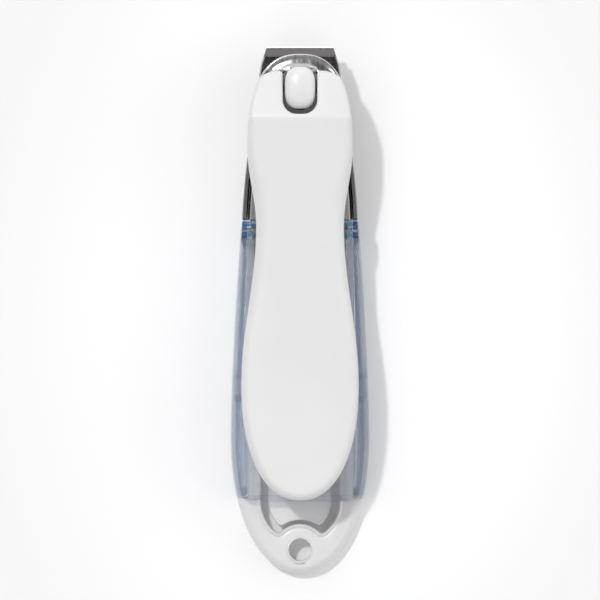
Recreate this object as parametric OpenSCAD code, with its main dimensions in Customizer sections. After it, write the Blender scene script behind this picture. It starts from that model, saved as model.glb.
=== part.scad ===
// Catcher nail clipper: two sprung steel jaws, a turning post with a flip-over lever,
// a clear catcher hood and a white drawer tray. Millimetres, +Y towards the blades, +Z up.
// The clipper is drawn stored: lever lying flat over the jaws, tray pushed home.

/* [Overall] */
// Length from the blade edges to the tail tip
body_l = 88; // [87:0.5:89]
// Greatest width, at the hood's rear third
body_w = 23.2; // [22.8:0.1:24]
// Width of the hood at its front edge
hood_front_w = 19.6; // [19.2:0.1:20]
// Distance of the greatest width behind the middle
widest_back = 21; // [19:0.5:23]

/* [Jaws] */
// Thickness of the spring-steel leaves
leaf_t = 0.9; // [0.7:0.05:1]
// Height of the lower leaf's underside
leaf_z = 5.2; // [5.2:0.1:5.4]
// Opening between the blade edges
blade_gap = 1.9; // [1.5:0.1:2]
// Width of the cutting edges
blade_w = 11; // [10:0.5:12]
// Distance of the jaw rivet behind the middle
rivet_back = 7; // [6:0.5:8]
// Radius of the jaw rivet's shank
rivet_r = 1.4; // [1.2:0.1:1.5]

/* [Post] */
// Distance of the post's axis in front of the middle
post_y = 35.6; // [35.4:0.1:35.8]
// Radius of the post's shank
post_r = 1.6; // [1.4:0.1:1.6]
// Distance of the lever's hinge bar in front of the middle
bar_y = 40.1; // [40:0.05:40.2]
// Height of the hinge bar
bar_z = 12.95; // [12.9:0.05:13.2]
// Radius of the hinge bar
bar_r = 1.0; // [0.9:0.05:1]
// Radial running clearance of the hinge bar in the hook
bar_play = 0.06; // [0.02:0.01:0.1]
// Width of the post's white cap
cap_w = 5.04; // [4.8:0.02:5.1]
// Length of the post's white cap
cap_l = 7; // [6.8:0.1:7.1]

/* [Lever] */
// Distance of the lever's front rim in front of the middle
rim_y = 42.7; // [42.5:0.05:42.7]
// Distance of the thumb ridge in front of the middle
ridge_y = 32.3; // [32:0.1:32.6]
// Distance of the lever's tail end behind the middle
lever_back = 31.6; // [31:0.1:32]
// Slope of the lever between its bar and its ridge, in degrees
nose_slope = 18; // [17:0.5:19]
// Greatest width of the lever's head
lever_head_w = 17.5; // [17:0.1:17.6]
// Width of the lever's waist
lever_waist_w = 14.6; // [14:0.1:15]
// Greatest width of the lever's tail
lever_tail_w = 19.5; // [19:0.1:20]
// Thickness of the steel lever plate
plate_t = 1.0; // [0.8:0.1:1]
// Height of the white cover's top over the middle of the plate
cover_h = 2.0; // [1.8:0.1:2]

/* [Housing] */
// Height of the hood's crown over the rear edge
roof_rear_z = 6.4; // [6.2:0.1:6.6]
// Height of the hood's crown over the front edge
roof_front_z = 11.6; // [11.5:0.1:11.8]
// Thickness of the hood's roof
roof_t = 0.8; // [0.7:0.05:0.9]
// Thickness of the hood's side walls
flank_t = 1.3; // [1.2:0.1:1.4]
// Width of the straight channel inside the hood
channel_w = 17.8; // [17.6:0.1:18]
// Thickness of the tray's floor
floor_t = 1.0; // [0.8:0.1:1]
// Height of the tray's tail
tail_h = 4.2; // [4:0.1:4.4]
// Radius of the lanyard hole
lanyard_r = 1.85; // [1.7:0.05:2]

/* [Hidden] */
$fn = 96;

// Plan stations along Y
nose_y = body_l / 2;
tail_y = -body_l / 2;
wide_y = -widest_back;
hood_front_y = 14.9;
hood_rear_y = -31;
lip_rear_y = -31.9;
tail_front_y = -31.3;
mouth_y = 15.2;         // where the jaws step out to their full width
guard_y = 36;           // front end of the lower jaw's side walls
rivet_y = -rivet_back;
leaf_rear_y = rivet_y - 4;
lanyard_y = -40.05;
head_wide_y = 27;       // widest place of the lever's head
waist_y = 14;
tail_wide_y = -12.5;    // widest place of the lever's tail
lever_end_y = -lever_back;
notch_y = 32.65;        // closed end of the lever's notch
lobe_y = 40;            // front of the cover's two lobes

// Heights
lower_top_z = leaf_z + leaf_t;
upper_z = lower_top_z + 0.2;
level_z = upper_z + 3.96;      // underside of the upper leaf's level front part
edge_low_z = 6.9;              // lower blade's edge
edge_high_z = edge_low_z + blade_gap;
roof_tilt = atan((roof_front_z - roof_rear_z) / (hood_front_y - lip_rear_y));
roof_crown_r = 80;
rib_z = 4.3;                   // underside of the hood's latch rib
tray_wall_z = 3.8;
tray_sill_z = 2.7;
ridge_z = bar_z + (bar_y - ridge_y) * tan(nose_slope);

// Half-widths
channel_x = channel_w / 2;
lip_x = channel_x - 0.7;       // inner face of the hood's bottom lips
lip_z = 0.85;
tray_x = channel_x - 0.15;
tray_foot_x = lip_x - 0.1;
notch_x = 2.87;
guard_t = 0.7;
jaw_side_gap = 0.55;
jaw_rear_w = 19.3;
jaw_shoulder_x = 6.5;          // jaws' half-width where the blades begin
jaw_shoulder_y = 41;
leaf_in_x = 8.3;               // leaves' half-width just inside the hood
leaf_rear_x = 6;
pocket_x = 6.55;
pocket_l = 6.7;
boss_r = 4.36;
tongue_x = 5.3;
tongue_l = 5.42;
tongue_z = 1.3;
tongue_top_z = 3;
tongue_root_y = -24.9;
far = 60;                      // longer than the clipper, for cutting forms

function clamp01(t) = min(1, max(0, t));
function ease(t) = (1 - cos(180 * clamp01(t))) / 2;
function mix(a, b, t) = a + (b - a) * t;
// Half-width of a super-ellipse of half-width w and length l, at distance d from its middle
function oval(d, w, l, n) = w * pow(max(0, 1 - pow(min(1, abs(d) / l), n)), 1 / n);
// Half-width of the housing: long straight-ish flank, then a rounded tail
function side_x(y) = y > wide_y
    ? body_w / 2 - (body_w - hood_front_w) / 2 * pow((y - wide_y) / (hood_front_y - wide_y), 1.5)
    : oval(y - wide_y, body_w / 2, wide_y - tail_y, 2.12);
// Half-width of the jaws in front of the hood
function jaw_x(y) = y > jaw_shoulder_y
    ? mix(jaw_shoulder_x, blade_w / 2, (y - jaw_shoulder_y) / (nose_y - jaw_shoulder_y))
    : jaw_rear_w / 2 - (jaw_rear_w / 2 - jaw_shoulder_x)
        * pow(max(0, y - mouth_y) / (jaw_shoulder_y - mouth_y), 1.4);
// Half-width of the upper leaf, which sits between the lower jaw's side walls
function leaf_x(y) = jaw_x(y) - (guard_t + jaw_side_gap) * ease((guard_y + 3 - y) / 2);
// Half-width of the lever's whole outline, rim included
function rim_x(y) = y > head_wide_y
    ? oval(y - head_wide_y, lever_head_w / 2, rim_y - head_wide_y, 2.5)
    : y > waist_y
    ? mix(lever_head_w, lever_waist_w, ease((head_wide_y - y) / (head_wide_y - waist_y))) / 2
    : y > tail_wide_y
    ? mix(lever_waist_w, lever_tail_w, ease((waist_y - y) / (waist_y - tail_wide_y))) / 2
    : oval(y - tail_wide_y, lever_tail_w / 2, tail_wide_y - lever_end_y, 2.2);
// Half-width of the steel plate: full at the rim, drawn in under the cover behind it
function plate_x(y) = max(0.2, rim_x(y) - 1.1 * ease((38 - y) / 4));
// Half-width of the white cover, whose two lobes stop short of the rim
function cover_x(y) = y > head_wide_y
    ? min(rim_x(y), oval(y - head_wide_y, lever_head_w / 2, lobe_y - head_wide_y, 4))
    : rim_x(y);
// Height of the middle of the lever plate
function plate_z(y) = y > bar_y
    ? bar_z
    : y > ridge_y
    ? bar_z + (bar_y - y) * tan(nose_slope)
    : ridge_z - 0.4 * (ridge_y - y) / (ridge_y - lever_end_y)
        - 0.8 * sin(180 * (ridge_y - y) / (ridge_y - lever_end_y));

function stations(a, b, n) = [for (i = [0:n]) mix(a, b, i / n)];
// Stations from a to the round end b, crowded towards b, without a itself
function round_stations(a, b, n) = [for (i = [1:n]) mix(a, b, sin(90 * i / n))];
function reversed(v) = [for (i = [len(v) - 1:-1:0]) v[i]];

// A plan outline, symmetric about Y, from right-hand points ordered by rising y
module plan(right) {
    left = [for (p = reversed(right)) [-p[0], p[1]]];
    polygon(concat(right, left));
}

// A prism across the whole width from a side outline given in (y, z)
module side_prism(half_w) {
    translate([-half_w, 0, 0])
        rotate([90, 0, 90])
            linear_extrude(2 * half_w)
                children();
}

// The children and their mirror image across the middle plane
module both_sides() {
    children();
    mirror([1, 0, 0])
        children();
}

// Box between two corners
module box(low, high) {
    translate(low)
        cube(high - low);
}

// Solid under the hood's crowned, sloping roof, lowered by drop
module under_roof(drop) {
    translate([0, lip_rear_y, roof_rear_z - drop])
        rotate([roof_tilt - 90, 0, 0])
            translate([0, roof_crown_r, -20])
                cylinder(h = 90, r = roof_crown_r, $fn = 300);
}

// Rounded end of the lever's notch, open towards +Y up to y_end
module notch_plan(y_end) {
    end_r = 2.3;
    for (side = [-1, 1])
        translate([side * (notch_x - end_r), notch_y + end_r])
            circle(r = end_r);
    translate([-notch_x + end_r, notch_y])
        square([2 * (notch_x - end_r), end_r]);
    translate([-notch_x, notch_y + end_r])
        square([2 * notch_x, y_end - notch_y - end_r]);
}

// Band of the lever between two heights over the middle of its plate
module lever_band(low, high) {
    ys = concat(stations(lever_end_y - 1, ridge_y, 16), [bar_y, rim_y + 1]);
    bottom = [for (y = ys) [y, plate_z(y) + low]];
    top = [for (y = reversed(ys)) [y, plate_z(y) + high]];
    side_prism(15)
        polygon(concat(bottom, top));
}

// Stations of the lever's outline, up to a round front end at y_front
function lever_ys(y_front) = concat(
    reversed(round_stations(tail_wide_y, lever_end_y, 14)),
    stations(tail_wide_y, waist_y, 10),
    stations(waist_y + 1.3, head_wide_y, 9),
    round_stations(head_wide_y, y_front, 16));

module lower_jaw() {
    ys = stations(mouth_y, jaw_shoulder_y, 12);
    wall_ys = stations(mouth_y, guard_y, 10);
    window_x = 4.6;
    color("lightsteelblue")
    difference() {
        union() {
            intersection() {
                union() {
                    // Broad front part with the blade
                    linear_extrude(far)
                        plan(concat([for (y = ys) [jaw_x(y), y]], [[blade_w / 2, nose_y]]));
                    // Narrower rear part inside the hood
                    linear_extrude(far)
                        plan([[leaf_rear_x, leaf_rear_y], [leaf_in_x, mouth_y + 0.5]]);
                }
                side_prism(15)
                    polygon([[leaf_rear_y, leaf_z], [37.4, leaf_z], [42.2, 5.7], [nose_y, edge_low_z],
                        [42.6, edge_low_z - 0.15], [37, lower_top_z], [leaf_rear_y, lower_top_z]]);
            }
            // Folded side walls that keep the clippings in
            intersection() {
                linear_extrude(far)
                    difference() {
                        plan([for (y = wall_ys) [jaw_x(y), y]]);
                        plan([for (y = wall_ys) [jaw_x(y) - guard_t, y]]);
                    }
                side_prism(15)
                    polygon([[mouth_y, leaf_z], [guard_y, leaf_z], [guard_y, 6.6], [33, 9.8],
                        [mouth_y, 8.8]]);
            }
        }
        // Holes for the post and the rivet
        translate([0, post_y, 0])
            cylinder(h = far, r = post_r + 0.06);
        translate([0, rivet_y, 0])
            cylinder(h = far, r = rivet_r + 0.02);
        // Window through which the clippings drop into the tray
        box([-window_x, -1, 0], [window_x, 12, far]);
    }
}

module upper_jaw() {
    ys = stations(mouth_y, jaw_shoulder_y, 20);
    rise_y = rivet_y + 4;
    knee_z = level_z - 1.41;
    level_y = 20;
    color("silver")
    difference() {
        intersection() {
            union() {
                linear_extrude(far)
                    plan(concat([for (y = ys) [leaf_x(y), y]], [[blade_w / 2, nose_y]]));
                linear_extrude(far)
                    plan([[leaf_rear_x, leaf_rear_y], [leaf_in_x, mouth_y]]);
            }
            side_prism(15)
                polygon([[leaf_rear_y, upper_z], [rise_y, upper_z], [13, knee_z], [level_y, level_z],
                    [36, level_z], [38.7, level_z - 0.96], [42.6, edge_high_z],
                    [nose_y, edge_high_z], [42.3, edge_high_z + 0.8], [39, level_z - 0.06],
                    [36.3, level_z + leaf_t], [level_y, level_z + leaf_t], [13, knee_z + leaf_t],
                    [rise_y, upper_z + leaf_t], [leaf_rear_y, upper_z + leaf_t]]);
        }
        translate([0, post_y, 0])
            cylinder(h = far, r = post_r + 0.5);
        translate([0, rivet_y, 0])
            cylinder(h = far, r = rivet_r + 0.2);
    }
}

// Rivet through both leaves, the carrier and the washer
module jaw_rivet() {
    color("gainsboro")
    translate([0, rivet_y, 0]) {
        translate([0, 0, 3.3])
            cylinder(h = 4.1, r = rivet_r);
        translate([0, 0, 3])
            cylinder(h = 0.3, r = 1.9);
        translate([0, 0, 7.32])
            cylinder(h = 0.5, r1 = 2.5, r2 = 2.1);
    }
}

module rivet_washer() {
    color("darkgray")
    translate([0, rivet_y, 3.3])
        difference() {
            cylinder(h = 0.5, r = 2.7);
            translate([0, 0, -1])
                cylinder(h = 2, r = rivet_r);
        }
}

// White frame that holds the leaves in the hood: two rails, a bridge under the rivet, two snap lugs
module jaw_carrier() {
    rail_in = 7.3;
    rail_x = channel_x - 0.05;
    bridge_z = 3.8;
    color("whitesmoke")
    difference() {
        union() {
            both_sides() {
                box([rail_in, -14.1, 4.1], [rail_x, 13.6, leaf_z]);
                box([rail_x - 1, -14.1, 4.1], [rail_x + 1.2, -11.3, leaf_z - 0.1]);
            }
            box([-rail_x, -13, bridge_z], [rail_x, -3, leaf_z]);
        }
        // The bridge steps up over the tray's side walls
        both_sides()
            box([rail_in - 0.3, -15, 3], [rail_x + 1, 0, 4.1]);
        translate([0, rivet_y, 0])
            cylinder(h = far, r = rivet_r);
    }
}

// Clear catcher hood: crowned sloping roof, hollow flanks over a guide ledge, straight channel inside
module clear_hood() {
    ledge_z = 2;
    hollow_ys = stations(-29.6, 11.6, 16);
    lug_block_y = [-15.2, -10.2];
    ys = concat([for (i = [8:-1:1]) mix(wide_y, hood_rear_y, i / 8)],
        stations(wide_y, hood_front_y, 18));
    color("lightblue", 0.5) {
        difference() {
            intersection() {
                union() {
                    linear_extrude(far)
                        plan([for (y = ys) [side_x(y), y]]);
                    // Roof lip over the tail
                    linear_extrude(far)
                        plan([[8.3, lip_rear_y], [9.6, hood_rear_y + 0.1]]);
                }
                under_roof(0);
            }
            // Channel, with bottom lips left standing for the tray to ride on
            intersection() {
                box([-channel_x, -far, lip_z], [channel_x, far, far]);
                under_roof(roof_t);
            }
            box([-lip_x, -far, -1], [lip_x, far, lip_z + 0.1]);
            // Room for the tail under the roof lip
            box([-far, -far, -1], [far, hood_rear_y, tail_h + 0.3]);
            // Hollow flanks, left solid around the carrier's lugs
            intersection() {
                linear_extrude(far)
                    difference() {
                        plan([for (y = hollow_ys) [side_x(y) - flank_t, y]]);
                        translate([-far, lug_block_y[0]])
                            square([2 * far, lug_block_y[1] - lug_block_y[0]]);
                    }
                box([-far, -far, ledge_z], [far, far, far]);
                under_roof(roof_t);
            }
            // Pockets for the carrier's snap lugs
            box([-channel_x - 1.4, -14.3, 3.9], [channel_x + 1.4, -11.1, 5.3]);
            // Two grooves across the front lip
            for (y = [13.45, 12.1])
                translate([-far, y, 0])
                    translate([0, 0, roof_front_z - 0.05])
                        rotate([0, 90, 0])
                            cylinder(h = 2 * far, r = 0.25, $fn = 24);
        }
        // Latch rib across the inside of the roof
        intersection() {
            box([-4, -30.3, rib_z], [4, -29.7, far]);
            under_roof(roof_t / 2);
        }
    }
}

// Outline of the opening that the release tongue lies in
module pocket_plan(half_w, l, boss) {
    difference() {
        union() {
            translate([0, tail_front_y - 0.6])
                polygon([for (a = [180:6:360]) [half_w * cos(a), l * sin(a)]]);
            translate([-half_w, tail_front_y - 0.7])
                square([2 * half_w, 8]);
        }
        translate([0, lanyard_y])
            circle(r = boss);
    }
}

module base_tray() {
    wall_in = 7.4;
    front_y = 13.5;
    back_y = -22.6;
    tail_ys = concat(reversed(round_stations(tail_front_y, tail_y, 20)), [tail_front_y]);
    color("white")
    difference() {
        union() {
            // Floor and foot between the hood's lips
            box([-tray_foot_x, tail_front_y - 1, 0], [tray_foot_x, front_y, floor_t]);
            // Side walls
            both_sides()
                box([wall_in, tail_front_y - 1, floor_t - 0.05], [tray_x, front_y, tray_wall_z]);
            // Front sill, back wall
            box([-tray_x + 0.2, front_y - 0.9, floor_t - 0.05], [tray_x - 0.2, front_y, tray_sill_z]);
            box([-tray_x + 0.2, back_y - 1.3, floor_t - 0.05], [tray_x - 0.2, back_y, tray_wall_z]);
            // Side strips beside the tongue
            both_sides()
                box([pocket_x, tail_front_y - 1, 0], [wall_in + 0.2, back_y, tray_wall_z]);
            // Tail
            linear_extrude(tail_h)
                plan([for (y = tail_ys) [side_x(y), y]]);
        }
        // Opening for the tongue, and the lanyard hole with its chamfers
        translate([0, 0, -1])
            linear_extrude(far)
                pocket_plan(pocket_x, pocket_l, boss_r);
        translate([0, lanyard_y, -1])
            cylinder(h = far, r = lanyard_r);
        for (end = [0, 1])
            translate([0, lanyard_y, end * tail_h])
                rotate([end * 180, 0, 0])
                    translate([0, 0, -0.01])
                        cylinder(h = 0.16, r1 = lanyard_r + 0.16, r2 = lanyard_r);
    }
}

// Springy tongue with a catch tooth; its round root is where it bends
module release_tongue() {
    root_r = (tongue_top_z - tongue_z) / 2;
    color("white") {
        intersection() {
            translate([0, 0, tongue_z])
                linear_extrude(tongue_top_z - tongue_z)
                    pocket_plan(tongue_x, tongue_l, boss_r + 0.6);
            box([-far, -far, 0], [far, tongue_root_y, far]);
        }
        translate([-tongue_x, tongue_root_y, tongue_z + root_r])
            rotate([0, 90, 0])
                cylinder(h = 2 * tongue_x, r = root_r, $fn = 48);
        box([-3, -29.4, tongue_top_z - 0.2], [3, -28.8, rib_z - 0.15]);
    }
}

// Steel post: foot under the lower jaw, round shank, hook over the lever's bar
module pivot_post() {
    head_x = 1.7;
    foot_z = 4.3;
    neck_z = bar_z + 0.15;
    color("silver") {
        translate([0, post_y, foot_z])
            cylinder(h = neck_z - foot_z + 0.5, r = post_r);
        translate([0, post_y, foot_z])
            cylinder(h = leaf_z - 0.08 - foot_z, r = 2.9);
        difference() {
            side_prism(head_x)
                polygon([[post_y - post_r, neck_z], [post_y + post_r, neck_z],
                    [post_y + post_r + 0.3, bar_z + 0.6], [bar_y + 0.2, bar_z + 0.6],
                    [bar_y + 0.5, bar_z + 0.95], [bar_y + 0.95, 14.75], [bar_y + 0.3, 15.3], [bar_y - 0.6, 15.7],
                    [post_y - post_r, 15.7]]);
            translate([-far, bar_y, bar_z])
                rotate([0, 90, 0])
                    cylinder(h = 2 * far, r = bar_r + bar_play);
        }
    }
}

// White domed cap over the post's head
module post_cap() {
    cap_z = 14.15;
    top_z = 16.9;
    mid_y = 40.5 - cap_l / 2;
    color("white")
    difference() {
        intersection() {
            translate([0, mid_y, cap_z])
                linear_extrude(far)
                    polygon([for (i = [0:47]) let (a = 7.5 * i, y = cap_l / 2 * sin(a))
                        [sign(cos(a)) * oval(y, cap_w / 2, cap_l / 2, 2.8), y]]);
            translate([0, far, top_z - 5])
                rotate([90, 0, 0])
                    cylinder(h = 2 * far, r = 5);
            translate([-far, mid_y, top_z - 12])
                rotate([0, 90, 0])
                    cylinder(h = 2 * far, r = 12, $fn = 180);
        }
        // Socket that fits the post's head
        box([-1.72, 33.9, 0], [1.72, far, 15.72]);
    }
}

// Steel lever plate with its rim, slot and round hinge bar
module lever_plate() {
    color("silver") {
        difference() {
            intersection() {
                linear_extrude(far)
                    plan([for (y = lever_ys(rim_y)) if (y > lever_end_y + 1.2) [plate_x(y), y]]);
                lever_band(-plate_t / 2, plate_t / 2);
            }
            linear_extrude(far)
                notch_plan(bar_y);
        }
        translate([-notch_x - 0.3, bar_y, bar_z])
            rotate([0, 90, 0])
                cylinder(h = 2 * notch_x + 0.6, r = bar_r);
    }
}

// White lever cover: shell over the plate with side skirts, notched around the post
module lever_cover() {
    fit = 0.04;
    color("white")
    difference() {
        intersection() {
            linear_extrude(far)
                plan([for (y = lever_ys(lobe_y)) [cover_x(y), y]]);
            lever_band(-plate_t / 2, cover_h);
        }
        intersection() {
            linear_extrude(far)
                plan(concat([[0.4, lever_end_y + 1]],
                    [for (y = lever_ys(rim_y)) if (y > lever_end_y + 1.2) [plate_x(y) + fit, y]]));
            lever_band(-plate_t, plate_t / 2 + fit);
        }
        linear_extrude(far)
            notch_plan(far);
    }
}

lower_jaw();
upper_jaw();
jaw_rivet();
rivet_washer();
jaw_carrier();
clear_hood();
base_tray();
release_tongue();
pivot_post();
post_cap();
lever_plate();
lever_cover();
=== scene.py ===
import math

import bmesh
import bpy
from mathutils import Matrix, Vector


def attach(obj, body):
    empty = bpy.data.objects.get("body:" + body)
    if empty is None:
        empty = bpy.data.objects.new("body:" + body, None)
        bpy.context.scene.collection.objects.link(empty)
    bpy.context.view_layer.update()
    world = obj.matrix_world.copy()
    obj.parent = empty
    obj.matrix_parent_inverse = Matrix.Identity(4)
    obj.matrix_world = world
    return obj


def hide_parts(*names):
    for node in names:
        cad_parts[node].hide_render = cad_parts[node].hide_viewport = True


MM = 0.001

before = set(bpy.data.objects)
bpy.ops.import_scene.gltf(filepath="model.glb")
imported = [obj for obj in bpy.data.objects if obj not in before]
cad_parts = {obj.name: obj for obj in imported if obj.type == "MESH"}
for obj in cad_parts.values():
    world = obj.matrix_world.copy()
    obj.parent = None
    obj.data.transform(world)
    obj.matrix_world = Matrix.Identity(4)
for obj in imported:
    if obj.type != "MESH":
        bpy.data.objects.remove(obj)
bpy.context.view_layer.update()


# ---------------------------------------------------------------- outlines, in millimetres

def clamp01(t):
    """The value held between 0 and 1."""
    return min(1.0, max(0.0, t))


def ease(t):
    """A soft rise from 0 to 1 as t goes from 0 to 1."""
    return (1 - math.cos(math.pi * clamp01(t))) / 2


def mix(a, b, t):
    """The value a share t of the way from a to b."""
    return a + (b - a) * t


def oval(d, w, l, n):
    """Half-width of a super-ellipse of half-width w and length l, at distance d from its middle."""
    return w * max(0.0, 1 - min(1.0, abs(d) / l) ** n) ** (1 / n)


HOUSING_X, HOUSING_Y = 11.6, -21
HOOD_FRONT, TAIL_REAR = 14.9, -44
JAW_FRONT, BLADE_Y, WALL_REAR, JAW_AT_HOOD, JAW_REAR = 44.0, 41, 15.2, 15.02, -11.0
JAW_X, BLADE_X, TIP_X = 9.65, 6.5, 5.5
WALL_FRONT = 36
UPPER_FRONT = 43.75
POST_Y, RIVET_Y = 35.6, -7
HEAD_Y, HEAD_X = 27, 8.75
WAIST_Y, WAIST_X = 14, 7.3
GRIP_Y, GRIP_X = -12.5, 9.75
LEVER_REAR, PLATE_REAR, COVER_FRONT, PLATE_FRONT = -31.6, -30.5, 40, 42.7
PLATE_HALF_T = 0.5
RIDGE_Y, RIDGE_Z, BAR_Y, BAR_Z = 32.3, 15.484, 40.1, 12.95
NOSE_SLOPE = math.tan(math.radians(18))
NOTCH_X, NOTCH_Y, NOTCH_R = 2.87, 32.65, 2.3


def side_x(y):
    """Half-width of the housing."""
    if y > HOUSING_Y:
        return HOUSING_X - 1.8 * ((y - HOUSING_Y) / (HOOD_FRONT - HOUSING_Y)) ** 1.5
    return oval(y - HOUSING_Y, HOUSING_X, HOUSING_Y - TAIL_REAR, 2.12)


def jaw_x(y):
    """Half-width of the jaws in front of the hood."""
    if y > BLADE_Y:
        return mix(BLADE_X, TIP_X, (y - BLADE_Y) / (JAW_FRONT - BLADE_Y))
    return mix(JAW_X, BLADE_X, (max(0.0, y - WALL_REAR) / (BLADE_Y - WALL_REAR)) ** 1.4)


def leaf_x(y):
    """Half-width of the upper leaf, which sits between the lower jaw's side walls."""
    return jaw_x(y) - 1.25 * ease((39 - y) / 2)


def rim_x(y):
    """Half-width of the lever's whole outline: a round head, a waist and a broader grip."""
    if y > HEAD_Y:
        return oval(y - HEAD_Y, HEAD_X, PLATE_FRONT - HEAD_Y, 2.5)
    if y > WAIST_Y:
        return mix(HEAD_X, WAIST_X, ease((HEAD_Y - y) / (HEAD_Y - WAIST_Y)))
    if y > GRIP_Y:
        return mix(WAIST_X, GRIP_X, ease((WAIST_Y - y) / (WAIST_Y - GRIP_Y)))
    return oval(y - GRIP_Y, GRIP_X, GRIP_Y - LEVER_REAR, 2.2)


def plate_x(y):
    """Half-width of the lever plate: set in under the moulding, and out to the rim in front of it."""
    return max(0.2, rim_x(y) - 1.1 * ease((38 - y) / 4))


def cover_x(y):
    """Half-width of the lever's moulding, whose head is shorter and squarer than the plate's."""
    if y > HEAD_Y:
        return min(rim_x(y), oval(y - HEAD_Y, HEAD_X, COVER_FRONT - HEAD_Y, 4))
    return rim_x(y)


def plate_z(y):
    """Height of the middle of the lever plate."""
    if y > BAR_Y:
        return BAR_Z
    if y > RIDGE_Y:
        return BAR_Z + (BAR_Y - y) * NOSE_SLOPE
    s = (RIDGE_Y - y) / (RIDGE_Y - LEVER_REAR)
    return RIDGE_Z - 0.4 * s - 0.8 * math.sin(math.pi * s)


def soft_plate_z(y):
    """The same height with its two creases rounded."""
    r = 0.5
    return (plate_z(y - r) + 2 * plate_z(y) + plate_z(y + r)) / 4


def resample(points, step):
    """A closed outline with points step apart, and every sharp corner kept."""
    n = len(points)
    corners = []
    for i in range(n):
        a, b, c = (Vector(points[j % n]) for j in (i - 1, i, i + 1))
        u, v = b - a, c - b
        if u.length < 1e-6 or v.length < 1e-6 or u.angle(v) > math.radians(28):
            corners.append(i)
    if not corners:
        corners = [0]
    out = []
    for k, start in enumerate(corners):
        end = corners[(k + 1) % len(corners)]
        run = [Vector(points[start])]
        i = start
        while True:
            i = (i + 1) % n
            run.append(Vector(points[i]))
            if i == end:
                break
        lengths = [0.0]
        for p, q in zip(run, run[1:]):
            lengths.append(lengths[-1] + (q - p).length)
        count = max(1, round(lengths[-1] / step))
        j = 0
        for m in range(count):
            want = lengths[-1] * m / count
            while lengths[j + 1] < want:
                j += 1
            span = max(1e-9, lengths[j + 1] - lengths[j])
            out.append(tuple(run[j].lerp(run[j + 1], (want - lengths[j]) / span)))
    return out


def mirrored(right):
    """A closed outline, anticlockwise, from its right-hand points ordered by rising y."""
    return list(right) + [(-x, y) for x, y in reversed(right) if x > 1e-6]


def arc(cx, cy, r, a0, a1, n, ry=None):
    """Points round an arc from angle a0 to a1 in degrees, with its own radius ry along y if given."""
    ry = r if ry is None else ry
    return [(cx + r * math.cos(math.radians(mix(a0, a1, i / n))),
             cy + ry * math.sin(math.radians(mix(a0, a1, i / n)))) for i in range(n + 1)]


def round_end(a, b, n):
    """Stations from a to b, crowded towards b, without a."""
    return [mix(a, b, math.sin(math.pi / 2 * i / n)) for i in range(1, n + 1)]


def steps(a, b, n):
    """Stations from a to b, both included, with n even spaces between them."""
    return [mix(a, b, i / n) for i in range(n + 1)]


# ---------------------------------------------------------------- meshes

def loop_normals(points):
    """Unit vectors to the left of an outline's direction."""
    n = len(points)
    normals = []
    for i in range(n):
        (ax, ay), (bx, by) = points[i - 1], points[(i + 1) % n]
        length = max(1e-9, math.hypot(bx - ax, by - ay))
        normals.append((-(by - ay) / length, (bx - ax) / length))
    return normals


def quarter(r, n=6):
    """Inset and drop of a quarter-round edge of radius r, from its wall to its top."""
    return [(r * (1 - math.cos(math.pi / 2 * k / n)), r * (1 - math.sin(math.pi / 2 * k / n)))
            for k in range(n + 1)]


def slab(loops, top, bottom, cuts_x=(), cuts_y=()):
    """A solid between the heights bottom(x, y) and top(x, y).

    Each loop is (points, top_edge, bottom_edge). An outer outline runs anticlockwise, a hole clockwise.
    Each edge is a function of the point that returns (inset, drop) pairs from the wall to the face.
    The two faces are built flat, cut along the given stations and then moved to their heights."""
    bm = bmesh.new()
    high = 50.0
    top_edges, bottom_edges = [], []
    for points, top_edge, bottom_edge in loops:
        normals = loop_normals(points)
        columns = []
        for (x, y), (nx, ny) in zip(points, normals):
            column = []
            for inset, drop in reversed(bottom_edge(x, y)):
                column.append((x + nx * inset, y + ny * inset, drop))
            for inset, drop in top_edge(x, y):
                column.append((x + nx * inset, y + ny * inset, high - drop))
            columns.append([bm.verts.new(place) for place in column])
        count, rings = len(columns), len(columns[0])
        for i in range(count):
            a, b = columns[i], columns[(i + 1) % count]
            for k in range(rings - 1):
                bm.faces.new((a[k], b[k], b[k + 1], a[k + 1]))
        for i in range(count):
            a, b = columns[i], columns[(i + 1) % count]
            top_edges.append(bm.edges.get((a[-1], b[-1])))
            bottom_edges.append(bm.edges.get((a[0], b[0])))
    bm.normal_update()
    for edges, up in ((top_edges, 1), (bottom_edges, -1)):
        bmesh.ops.triangle_fill(bm, use_beauty=True, use_dissolve=False, edges=edges, normal=(0, 0, up))
    for values, axis in ((cuts_x, (1, 0, 0)), (cuts_y, (0, 1, 0))):
        for value in values:
            bmesh.ops.bisect_plane(bm, geom=bm.verts[:] + bm.edges[:] + bm.faces[:], dist=1e-5,
                                   plane_co=[value * c for c in axis], plane_no=axis)
    for v in bm.verts:
        x, y, z = v.co
        v.co.z = top(x, y) - (high - z) if z > high / 2 else bottom(x, y) + z
    bmesh.ops.recalc_face_normals(bm, faces=bm.faces[:])
    return bm


def no_edge(x, y):
    """A sharp edge."""
    return [(0.0, 0.0)]


def edge(r, n=4):
    """The same rounding of radius r all the way round an outline."""
    pairs = quarter(r, n)
    return lambda x, y: pairs


def loft(rings):
    """A skin over closed rings of the same number of points, with flat ends."""
    bm = bmesh.new()
    rows = [[bm.verts.new(p) for p in ring] for ring in rings]
    n = len(rows[0])
    for a, b in zip(rows, rows[1:]):
        for i in range(n):
            j = (i + 1) % n
            bm.faces.new((a[i], a[j], b[j], b[i]))
    bm.faces.new(rows[0])
    bm.faces.new(rows[-1])
    bmesh.ops.recalc_face_normals(bm, faces=bm.faces[:])
    return bm


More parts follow.
